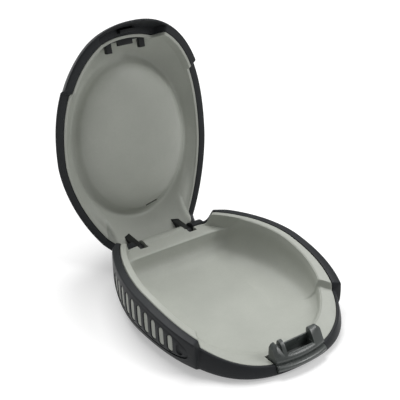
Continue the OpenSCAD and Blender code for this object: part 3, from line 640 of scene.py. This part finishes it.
# The button's outlines, as places along Y with their heights: the front, the middle and the end blocks
FRONT_OUTLINE = [(-42.65, 6.1), (-43.0, 5.6), (-43.2, 5.15), (-43.1, 4.75), (-42.9, 4.6), (-42.9, 4.15),
                 (-43.9, 3.95), (-44.4, 3.6), (-44.6, 3.2), (-44.5, 2.5), (-44.1, BUTTON_LOW)]
MIDDLE_OUTLINE = [(-WALL_REAR, BRIDGE_H - 0.3), (-WALL_REAR - 0.3, BRIDGE_H), (-WELL_REAR - 0.2, BRIDGE_H),
                  (-WELL_REAR - 0.2, BAND_H), (-WELL_FRONT, BAND_H), (-WELL_FRONT - 0.5, BAND_H - 0.05)]
END_OUTLINE = [(-WALL_REAR, BUTTON_H - 0.7), (-WALL_REAR - 0.2, BUTTON_H - 0.2),
               (-WALL_REAR - 0.7, BUTTON_H), (-39.3, BUTTON_H - 0.3), (-40.2, BUTTON_H - 0.9),
               (-41.1, BUTTON_H - 1.9), (-41.9, BUTTON_H - 3.1)]

# Half of the button seen from the front: places along X with their heights
SHOULDER = [(BUTTON_HALF_W, 0), (BUTTON_HALF_W, BUTTON_H - 1.7), (BUTTON_HALF_W - 0.5, BUTTON_H - 0.8),
            (BUTTON_HALF_W - 1.6, BUTTON_H + 0.1)]


def button_part(rear, x0, x1):
    """Sections along X, of which the front is set back to the button's bow."""
    outline = np.array([(-BLOCK_REAR, BUTTON_LOW), (-BLOCK_REAR, OVERHANG_H), (-WALL_REAR, OVERHANG_H),
                        *rear, *FRONT_OUTLINE])
    rings = []
    for x in np.linspace(x0, x1, 2 + int(SECTIONS_PER_MM * (x1 - x0))):
        back = BUTTON_BOW - math.sqrt(BUTTON_BOW ** 2 - x * x)
        y = outline[:, 0] + back * smooth((-outline[:, 0] - WELL_REAR) / BOW_RUN)
        rings.append(np.stack([np.full(len(y), x), y, outline[:, 1]], 1))
    return loft("button", rings, (0, 0))


def make_button():
    """A low wall behind the catch well, higher end blocks, and a front that sweeps down to the finger lip."""
    button = button_part(MIDDLE_OUTLINE, -BUTTON_HALF_W, BUTTON_HALF_W)
    for s in SIDES:
        unite(button, button_part(END_OUTLINE, *both_sides(s, WELL_HALF + END_SET, BUTTON_HALF_W)))
    left = [(-x, z) for x, z in reversed(SHOULDER)]
    section = prism("section", [*SHOULDER, *left], 0, LIP_FRONT + BEYOND)
    section.data.transform(Matrix.Rotation(-math.pi / 2, 4, "Z"))
    combine(button, section, "INTERSECT")
    groove_floor, rear, top = BUTTON_H - GROOVE_DEEP, OVER - WALL_REAR, BUTTON_H + OVER
    groove = [(rear, groove_floor), (-GROOVE_BEND, groove_floor), (-GROOVE_FRONT, BAND_H - GROOVE_END),
              (-GROOVE_FRONT, top), (rear, top)]
    cut(button,
        box("well", (-WELL_HALF, -WELL_FRONT, WELL_FLOOR), (WELL_HALF, -WELL_REAR, top)),
        prism("groove", groove, GROOVE_OUT - BUTTON_HALF_W, GROOVE_IN - BUTTON_HALF_W))
    soften(button, BUTTON_ROUND, segments=4, angle=30)
    return button


def make_leaf():
    """The bowed strip behind the button, with its crown at the rear."""
    bow = BLOCK_REAR - RECESS_REAR - LEAF_T - LEAF_SLACK
    r = (LEAF_HALF ** 2 + bow ** 2) / (2 * bow)
    rings = []
    for x in np.linspace(LEAF_END - LEAF_HALF, LEAF_HALF - LEAF_END, LEAF_POINTS):
        front, rear = [LEAF_CROWN - r + math.sqrt((r - t) ** 2 - x * x) for t in (LEAF_T, 0)]
        front = max(front, LEAF_CROWN - bow)
        rings.append(np.array([(x, front, LEAF_LOW), (x, rear, LEAF_LOW),
                               (x, rear, LEAF_HIGH), (x, front, LEAF_HIGH)]))
    return loft("leaf", rings, (0, 0))


# The lid, made closed. The dome's rings are given as turns in degrees, from the rim at 0 to the roof at 90
INNER_TURNS = np.linspace(90, 14, 18)
OUTER_TURNS = (6, 8, 10, *np.linspace(13, 90, 28))

# Rows of the lid's edge: how far in, and how high over the edge
FLANGE_ROWS = ((LID_EDGE, FLANGE_T), (LID_EDGE, 0.22), (LID_EDGE - 0.07, 0.06), (LID_EDGE - 0.22, 0))
SKIRT_ROWS = ((SKIRT, 0), (0.45, 0.03), (0.18, 0.14), (0.04, 0.34))

# Rows of the swell: share of its size, share of its height, and for the back its rise over the inside
SWELL_ROWS = ((0.2, 1.0), (0.45, 0.95), (0.66, 0.84), (0.83, 0.66), (0.94, 0.4), (1, 0.12))
SWELL_BACK_ROWS = ((0.97, 0.2, 1.0), (0.9, 0.5, 1.2), (0.8, 0.69, 1.3), (0.64, 0.85, 1.3),
                   (0.44, 0.95, 1.4), (0.2, 1, 1.4))

# Rows of the liner's wall, from the valley to the edge: how far in at the front and the rear, and how high
LINER_ROWS = ((1, 1, 1), (0.6, 0.75, 0.78), (0.25, 0.45, 0.46), (0.03, 0.2, 0.2))
BACK_RISE, BACK_SPREAD = 1.1, 0.02


def dome_up(turn):
    return math.sin(math.radians(turn)) ** (2 / DOME_POWER)


def dome_ring(turn, edge, roof_z, drawn_in, rim, plain):
    up = dome_up(turn)
    s = 1 - ROOF_SHARE * (1 - max(math.cos(math.radians(turn)), 0) ** (2 / DOME_POWER))
    places = egg((LID_HALF_W - edge) * s, (LID_FRONT - edge - drawn_in * BAY) * s, (RIM_REAR - edge) * s,
                 (LID_CUT - edge) * s, LID_KNEE * s, LID_POWER)
    plain = mix(plain, LEDGE_H + HINGE_GAP, NOSE_EASE * smooth(up / NOSE_RISE))
    return ring(places, mix(mix(rim, plain, smooth(up / RIM_RISE)), roof_z, up))


def outer_dome_ring(turn):
    """The plain dome, a little fuller over the bay so that it holds the catch."""
    fuller = mix(SKIRT_PLAIN, BAY_H, BAY_SWELL * (1 - smooth((dome_up(turn) - FULL_FROM) / FULL_RUN)))
    return dome_ring(turn, 0, CASE_H, 0, SKIRT_RIM, fuller)


def lid_edge_ring(inset, up):
    return ring(lid_pt(-inset), LID_RIM + up)


def skirt_ring(inset, up):
    return ring(skirt_pt(-inset), SKIRT_RIM + up)


def make_lid_cover():
    inside = [dome_ring(turn, LID_WALL, CASE_H - LID_WALL, BAY_IN + BAY_WALL, LID_RIM, LID_PLAIN)
              for turn in INNER_TURNS]
    flange = [lid_edge_ring(*row) for row in FLANGE_ROWS]
    flange.append(ring(mix(skirt_pt(-SKIRT - SKIRT_LAND), lid_pt(-BAY_LAND), BAY[:, None]), LID_RIM))
    skirt = [skirt_ring(*row) for row in SKIRT_ROWS]
    outside = [outer_dome_ring(turn) for turn in OUTER_TURNS]
    cover = loft("lid_shell", [*inside, *flange, *skirt, *outside])
    cut(cover, *catch_seat(SEAT_GAP))
    opened(cover)
    return cover


def swell_pt(u):
    return np.stack([SWELL_HALF_W * u * np.sin(TURN), SWELL_Y - SWELL_HALF_L * u * np.cos(TURN)], 1)


def swell_ring(u, sunk, up=0.0):
    places = swell_pt(u)
    return ring(places, VALLEY_Z - SWELL_H * sunk + up + SWELL_LEAN * (places[:, 1] - SWELL_Y))


def liner_wall(front_u, rear_u, v, back):
    share = mix(front_u, rear_u, (1 - np.cos(TURN)) / 2)[:, None]
    start = lid_pt(back - LID_EDGE - LINER_EDGE - SHELL_GAP)
    valley = swell_ring(VALLEY_U, 0.0, BACK_RISE * back)[:, 2]
    eased = mix(LID_PLAIN, EASED_PLAIN, smooth((v - EASE_FROM) / EASE_RUN))
    return ring(mix(start, swell_pt(VALLEY_U + BACK_SPREAD * back), share), mix(eased, valley, v))


def arm_outline(grow):
    """The arm seen from the side, with places from the hinge's axis, or its seat with a gap round it."""
    points = [(-EYE_R + 0.1 - grow, 0), ARM_TIP + (-grow, grow), ARM_TIP + (0.6 + grow, 0.2 + grow),
              (-2.5 + grow, 7.6 + grow), ARM_HEEL + (grow, grow), (-0.5 + grow, 3.8), (EYE_R * 0.9, 1.2)]
    return [(HINGE_Y + y, HINGE_Z + z) for y, z in points]


def arm_plate(grow, s):
    x0, x1 = both_sides(s, ARM_X - ARM_T / 2 - grow, ARM_X + ARM_T / 2 + grow)
    return prism("arm", arm_outline(grow), x0, x1)


def catch_seat(grow):
    """The boxes the catch is made of, or its seat in the lid with a gap round it."""
    bar_rear, leg_end = CATCH_FRONT - CATCH_BAR, CATCH_FRONT - CATCH_REACH
    boxes = [box("bar", (-CATCH_HALF - grow, -CATCH_FRONT - grow, CATCH_LOW - grow),
                 (CATCH_HALF + grow, -bar_rear + grow, CATCH_HIGH + grow))]
    for s in SIDES:
        x0, x1 = both_sides(s, CATCH_HALF - CATCH_LEG - grow, CATCH_HALF + grow)
        boxes.append(box("leg", (x0, -bar_rear - ROOT, CATCH_LOW - grow),
                         (x1, -leg_end + grow, CATCH_HIGH + grow)))
    x0, x1, top = -HOOK_HALF - grow, HOOK_HALF + grow, CATCH_LOW + HOOK_ARM + grow
    boxes.append(box("tongue", (x0, -HOOK_FRONT - grow, CATCH_LOW - grow),
                     (x1, TONGUE_ROOT - bar_rear + grow, top)))
    boxes.append(box("hook", (x0, -HOOK_FRONT - grow, HOOK_LOW - grow), (x1, -HOOK_REAR + grow, top)))
    return boxes


def make_liner():
    swell = [swell_ring(*row) for row in SWELL_ROWS]
    inside = eased_run([*swell, *[liner_wall(*row, 0) for row in LINER_ROWS]], steps=5)
    line = LID_EDGE + SHELL_GAP
    edge = [lid_edge_ring(line + LINER_EDGE, 0.15), lid_edge_ring(line + LINER_EDGE - 0.05, 0.04),
            lid_edge_ring(line + LINER_EDGE - 0.15, 0), lid_edge_ring(line + 0.12, 0),
            lid_edge_ring(line, 0.12)]
    back = [liner_wall(*row, LINER_EDGE) for row in reversed(LINER_ROWS)]
    back += [swell_ring(*row) for row in SWELL_BACK_ROWS]
    liner = loft("liner", [*inside, *edge, *back])
    for s in SIDES:
        cut(liner, arm_plate(SEAT_GAP, s))
    cut(liner, *catch_seat(SEAT_GAP))
    slit = box("slit", [-v for v in NOTCH_HALF], NOTCH_HALF)
    place = Vector((NOTCH_X, SWELL_Y + NOTCH_ALONG * SWELL_HALF_L,
                    VALLEY_Z - NOTCH_UP * SWELL_H + SWELL_LEAN * SWELL_HALF_L)) * MM
    slit.data.transform(Matrix.Translation(place) @ Matrix.Rotation(math.radians(NOTCH_TURN), 4, "Z"))
    cut(liner, slit)
    opened(liner)
    return liner


def make_arm(s):
    arm = arm_plate(0, s)
    x0, x1 = both_sides(s, ARM_X - ARM_T / 2, ARM_X + ARM_T / 2)
    unite(arm, hinge_rod("eye", EYE_R, x0, x1))
    cut(arm, hinge_rod("bore", PIN_R + RUN_FIT, x0 - OVER, x1 + OVER))
    soften(arm, ARM_ROUND)
    opened(arm)
    return arm


def make_catch():
    catch, *others = catch_seat(0.0)
    unite(catch, *others)
    soften(catch, CATCH_ROUND)
    opened(catch)
    return catch


# Materials
class Nodes:
    """A short way to write a material's node tree."""

    def __init__(self, name):
        self.material = bpy.data.materials.new(name)
        self.material.use_nodes = True
        self.tree = self.material.node_tree
        self.shader = self.tree.nodes["Principled BSDF"]
        self.place = self.add("ShaderNodeTexCoord").outputs["Object"]

    def add(self, kind, links=None, **values):
        node = self.tree.nodes.new(kind)
        for key, value in values.items():
            setattr(node, key, value)
        for socket, source in (links or {}).items():
            self.set(node.inputs[socket], source)
        return node

    def set(self, socket, source):
        if isinstance(source, bpy.types.NodeSocket):
            self.tree.links.new(source, socket)
        else:
            socket.default_value = source

    def noise(self, scale, detail=2.0, roughness=0.5, stretch=None):
        place = self.place
        if stretch:
            place = self.add("ShaderNodeMapping", {"Vector": place, "Scale": stretch}).outputs["Vector"]
        return self.add("ShaderNodeTexNoise", {"Vector": place, "Scale": scale, "Detail": detail,
                                               "Roughness": roughness}).outputs["Fac"]

    def span(self, value, low, high, to_low, to_high):
        return self.add("ShaderNodeMapRange", {"Value": value, "From Min": low, "From Max": high,
                                               "To Min": to_low, "To Max": to_high}).outputs["Result"]

    def blend(self, share, a, b):
        node = self.add("ShaderNodeMix", data_type="RGBA")
        for socket, source in zip((node.inputs[0], node.inputs[6], node.inputs[7]), (share, a, b)):
            self.set(socket, source)
        return node.outputs[2]

    def maths(self, operation, a, b):
        return self.add("ShaderNodeMath", {0: a, 1: b}, operation=operation).outputs[0]

    def bump(self, height, strength, distance):
        node = self.add("ShaderNodeBump", {"Height": height, "Strength": strength, "Distance": distance})
        self.set(self.shader.inputs["Normal"], node.outputs["Normal"])


def tint(rgb, factor=1.0):
    """A colour given as screen values from 0 to 255, as the shader wants it."""
    linear = [(v / 255 / 12.92) if v <= 10 else ((v / 255 + 0.055) / 1.055) ** 2.4 for v in rgb]
    return (*[min(v * factor, 1.0) for v in linear], 1.0)


PLASTIC_IOR, GRAIN_H, DRAWN_H = 1.47, 0.08 * MM, 0.02 * MM
STEEL_DULL, STEEL_BRIGHT = (168, 170, 174), (205, 206, 208)


def plastic(name, colour, roughness, grain, depth, wear, scuff, gloss):
    """Moulded plastic: a fine grain, cloudy colour and gloss, faint scuffs and edges rubbed lighter."""
    n = Nodes(name)
    cloud = n.noise(scale=55, detail=4, roughness=0.6)
    speck = n.noise(scale=grain * 0.35, detail=3, roughness=0.6)
    base = n.blend(n.span(cloud, 0.3, 0.7, 0, 1), tint(colour, 0.93), tint(colour, 1.06))
    base = n.blend(n.span(speck, 0.35, 0.75, 0, 0.35), base, tint(colour, 0.86))
    edges = n.add("ShaderNodeNewGeometry").outputs["Pointiness"]
    patches = n.span(n.noise(scale=380, detail=3), 0.4, 0.62, 0.2, 1)
    rubbed = n.maths("MULTIPLY", n.span(edges, 0.53, 0.62, 0, wear), patches)
    streaks = n.noise(scale=120, detail=6, roughness=0.7, stretch=(1.0, 0.25, 0.6))
    base = n.blend(n.span(streaks, 0.64, 0.76, 0, scuff), base, tint(colour, 1.25))
    n.set(n.shader.inputs["Base Color"], n.blend(rubbed, base, tint(colour, 1.9)))
    sheen = n.noise(scale=140, detail=5, roughness=0.65)
    n.set(n.shader.inputs["Roughness"], n.span(sheen, 0.3, 0.7, roughness - 0.06, roughness + 0.08))
    n.shader.inputs["IOR"].default_value = PLASTIC_IOR
    n.shader.inputs["Specular IOR Level"].default_value = gloss
    n.bump(n.noise(scale=grain, detail=2, roughness=0.55), strength=depth, distance=GRAIN_H)
    return n.material


def drawn_steel(name):
    """Bright steel with fine lines along X."""
    n = Nodes(name)
    lines = n.noise(scale=900, detail=3, roughness=0.6, stretch=(0.05, 1.0, 1.0))
    n.set(n.shader.inputs["Base Color"], n.blend(lines, tint(STEEL_DULL), tint(STEEL_BRIGHT)))
    n.set(n.shader.inputs["Roughness"], n.span(lines, 0.3, 0.7, 0.24, 0.42))
    n.shader.inputs["Metallic"].default_value = 1.0
    n.bump(lines, strength=0.2, distance=DRAWN_H)
    return n.material


GREY = plastic("grey_plastic", (172, 175, 167),
               roughness=0.46, grain=5200, depth=0.12, wear=0.0, scuff=0.25, gloss=0.4)
DARK = plastic("charcoal_plastic", (44, 46, 48),
               roughness=0.44, grain=4200, depth=0.3, wear=0.15, scuff=0.3, gloss=0.18)
SMOOTH = plastic("smooth_charcoal", (24, 26, 27),
                 roughness=0.36, grain=3600, depth=0.1, wear=0.2, scuff=0.2, gloss=0.3)
LATCH = plastic("latch_plastic", (60, 65, 63),
                roughness=0.32, grain=3600, depth=0.1, wear=0.3, scuff=0.25, gloss=0.9)
STEEL = drawn_steel("drawn_steel")


def dress(piece, node, body, material, name):
    piece.name = name
    piece.data.name = name
    piece.data.materials.clear()
    piece.data.materials.append(material)
    shade(piece)
    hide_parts(node)
    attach(piece, body)


# The pieces, each in the place of its node
dress(make_tray(), "base_tray", "base", GREY, "tray_moulding")
dress(make_cover(), "base_cover", "base", DARK, "cover_moulding")
right_grip = make_grip()
left_grip = mirrored(right_grip, "left_grip")
right_comb = make_comb()
left_comb = mirrored(right_comb, "left_comb")
dress(right_grip, "grip_right", "base", DARK, "right_grip_band")
dress(left_grip, "grip_left", "base", DARK, "left_grip_band")
dress(right_comb, "grip_comb_right", "base", GREY, "right_grip_comb")
dress(left_comb, "grip_comb_left", "base", GREY, "left_grip_comb")
dress(make_button(), "latch_button", "button", LATCH, "button_moulding")
dress(make_lid_cover(), "lid_cover", "lid", DARK, "lid_moulding")
dress(make_liner(), "lid_liner", "lid", GREY, "liner_moulding")
dress(make_arm(1), "hinge_arm_right", "lid", SMOOTH, "right_arm")
dress(make_arm(-1), "hinge_arm_left", "lid", SMOOTH, "left_arm")
dress(make_catch(), "lid_catch", "lid", SMOOTH, "catch_bracket")
leaf = make_leaf()
dress(leaf, "latch_spring", "base", STEEL, "leaf_strip")
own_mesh(leaf)

# The pin keeps the mesh of its node
pin_node = frame["nodes"]["hinge_pin"]
pin_node.data.materials.clear()
pin_node.data.materials.append(STEEL)

# Floor, light and background, in metres
FLOOR_HALF, FLOOR_TONE, FLOOR_ROUGHNESS, FLOOR_GLOW = 3.0, 0.72, 0.9, 0.36
WHITE, WORLD_LIGHT = (1, 1, 1, 1), 0.28


def add_floor():
    h = FLOOR_HALF
    corners = np.array([(-h, -h, 0), (h, -h, 0), (h, h, 0), (-h, h, 0)])
    floor = mesh_object("floor", corners / MM, [(0, 1, 2, 3)])
    n = Nodes("pale_floor")
    path = n.add("ShaderNodeLightPath").outputs
    seen = n.maths("MAXIMUM", path["Is Camera Ray"], path["Is Glossy Ray"])
    seen = n.maths("MAXIMUM", seen, path["Is Transmission Ray"])
    n.shader.inputs["Base Color"].default_value = (FLOOR_TONE, FLOOR_TONE, FLOOR_TONE, 1)
    n.shader.inputs["Roughness"].default_value = FLOOR_ROUGHNESS
    n.shader.inputs["Specular IOR Level"].default_value = 0.0
    glow = n.add("ShaderNodeEmission", {"Color": WHITE, "Strength": n.maths("MULTIPLY", seen, FLOOR_GLOW)})
    total = n.add("ShaderNodeAddShader", {0: n.shader.outputs[0], 1: glow.outputs[0]})
    n.tree.links.new(total.outputs[0], n.tree.nodes["Material Output"].inputs["Surface"])
    floor.data.materials.append(n.material)


def add_area(name, place, target, size, power):
    data = bpy.data.lights.new(name, "AREA")
    data.shape = "RECTANGLE"
    data.size, data.size_y = size
    data.energy = power
    lamp = bpy.data.objects.new(name, data)
    turned = (Vector(place) - Vector(target)).to_track_quat("Z", "Y").to_matrix().to_4x4()
    lamp.matrix_world = Matrix.Translation(place) @ turned
    bpy.context.scene.collection.objects.link(lamp)


def add_world(strength):
    world = bpy.data.worlds.new("studio")
    world.use_nodes = True
    bpy.context.scene.world = world
    nodes, links = world.node_tree.nodes, world.node_tree.links
    path = nodes.new("ShaderNodeLightPath")
    level = nodes.new("ShaderNodeMapRange")
    level.inputs["To Min"].default_value = strength
    level.inputs["To Max"].default_value = 1.0
    links.new(path.outputs["Is Camera Ray"], level.inputs["Value"])
    nodes["Background"].inputs["Color"].default_value = WHITE
    links.new(level.outputs["Result"], nodes["Background"].inputs["Strength"])


add_floor()
add_area("overhead", place=(0.1, 0.34, 0.85), target=(0, 0, 0), size=(0.7, 0.5), power=6.9)
add_area("side_fill", place=(0.65, -0.6, 0.75), target=(0, 0, 0.04), size=(0.5, 0.5), power=4.4)
add_world(WORLD_LIGHT)
bpy.context.scene.view_settings.view_transform = "Standard"
